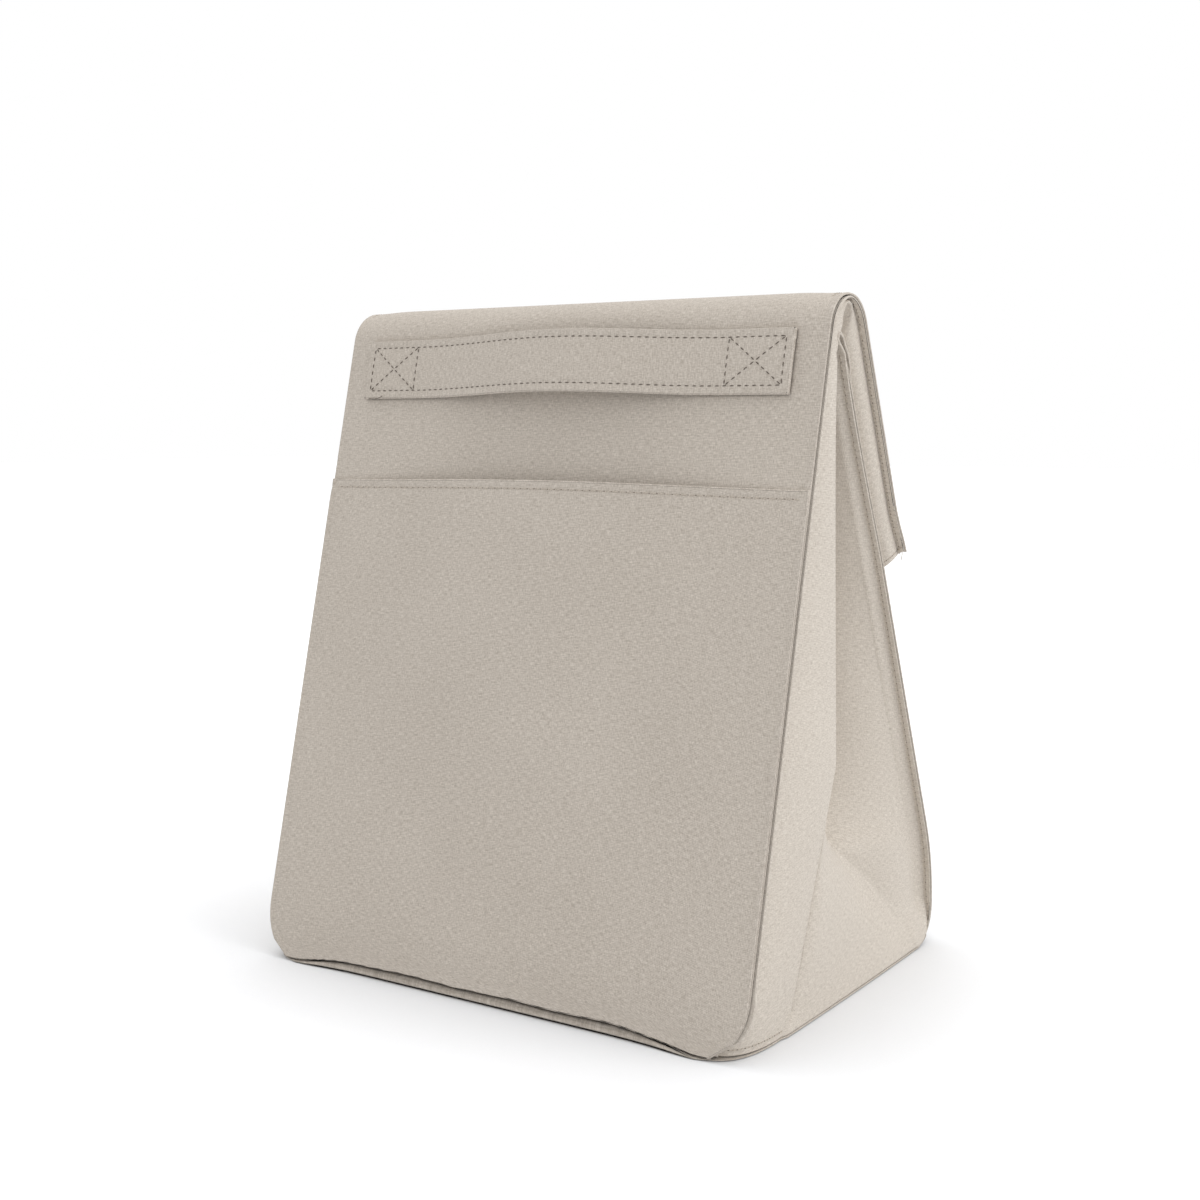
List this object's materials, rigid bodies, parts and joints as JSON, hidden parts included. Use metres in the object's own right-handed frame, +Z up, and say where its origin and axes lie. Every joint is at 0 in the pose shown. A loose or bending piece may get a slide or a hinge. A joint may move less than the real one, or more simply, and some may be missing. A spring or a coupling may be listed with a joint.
{
  "type": "insulated lunch bag",
  "caption": "Soft insulated lunch bag with pleated side gussets, a stiffened base, a front pocket, a flat strap handle and a top that folds over behind as a snapped flap.",
  "frame": {"origin": "on the floor, under the bag, in its middle across the width and on the line that the fit of the picture's view sets fore and aft", "axes": "+Z up, front towards -Y, +X to the right when facing +Y"},
  "size_m": [0.25, 0.1903, 0.2955],
  "materials": {
    "cloth": "plain-weave polyester linen, matte, warm grey",
    "gusset_cloth": "plain-weave polyester linen, matte, warm grey",
    "webbing": "folded and topstitched cloth strap, matte",
    "foam": "closed-cell polyethylene foam, matte",
    "lining": "aluminised film, satin",
    "board": "extruded polypropylene board, matte",
    "snap_steel": "nickel-plated steel, bright"
  },
  "bodies": {
    "root": {"base_shell": "cloth", "base_board": "board", "base_foam": "foam", "base_liner": "lining", "front_shell": "cloth", "front_foam": "foam", "front_liner": "lining", "pocket_panel": "cloth", "handle_strap": "webbing", "back_shell": "cloth", "back_foam": "foam", "back_liner": "lining", "gusset_left_shell": "gusset_cloth", "gusset_left_lining": "lining", "gusset_right_shell": "gusset_cloth", "gusset_right_lining": "lining", "snap_socket": "snap_steel", "snap_socket_washer": "snap_steel", "ridge_fold_outer": "cloth", "ridge_fold_inner": "cloth", "gusset_fold_left_front": "gusset_cloth", "gusset_fold_left_back": "gusset_cloth", "gusset_fold_right_front": "gusset_cloth", "gusset_fold_right_back": "gusset_cloth"},
    "ridge_front": {"ridge_pad_front": "foam"},
    "ridge_back": {"ridge_pad_back": "foam"},
    "flap_outer": {"flap_outer_shell": "cloth", "flap_outer_foam": "foam", "flap_outer_liner": "lining", "flap_gusset_left": "gusset_cloth", "flap_gusset_right": "gusset_cloth"},
    "flap_inner": {"flap_inner_shell": "cloth", "flap_inner_foam": "foam", "flap_inner_liner": "lining", "snap_stud": "snap_steel", "snap_stud_washer": "snap_steel"}
  },
  "joints": [
    {"name": "flap_fold", "type": "hinge", "parent": "root", "child": "ridge_front", "pos_m": [0, -0.02217, 0.28804], "axis": [1, 0, 0], "range_deg": [0, 47.39], "deforming": ["ridge_fold_outer", "ridge_fold_inner", "gusset_fold_left_front", "gusset_fold_left_back", "gusset_fold_right_front", "gusset_fold_right_back"]},
    {"name": "ridge_crease", "type": "hinge", "parent": "ridge_front", "child": "ridge_back", "pos_m": [0, -0.01008, 0.29473], "axis": [1, 0, 0], "range_deg": [0, 47.39]},
    {"name": "flap_crease", "type": "hinge", "parent": "ridge_back", "child": "flap_outer", "pos_m": [0, 0.00304, 0.29036], "axis": [1, 0, 0], "range_deg": [0, 47.39]},
    {"name": "mouth_open", "type": "hinge", "parent": "flap_outer", "child": "flap_inner", "pos_m": [0, 0.15859, 0.36952], "axis": [1, 0, 0], "range_deg": [-14.4, 0], "deforming": ["flap_gusset_left", "flap_gusset_right"]}
  ],
  "couplings": [
    {"joint": "ridge_crease", "follows": "flap_fold", "ratio": 1},
    {"joint": "flap_crease", "follows": "flap_fold", "ratio": 1},
    {"joint": "mouth_open", "follows": "flap_fold", "ratio": -0.30304}
  ]
}
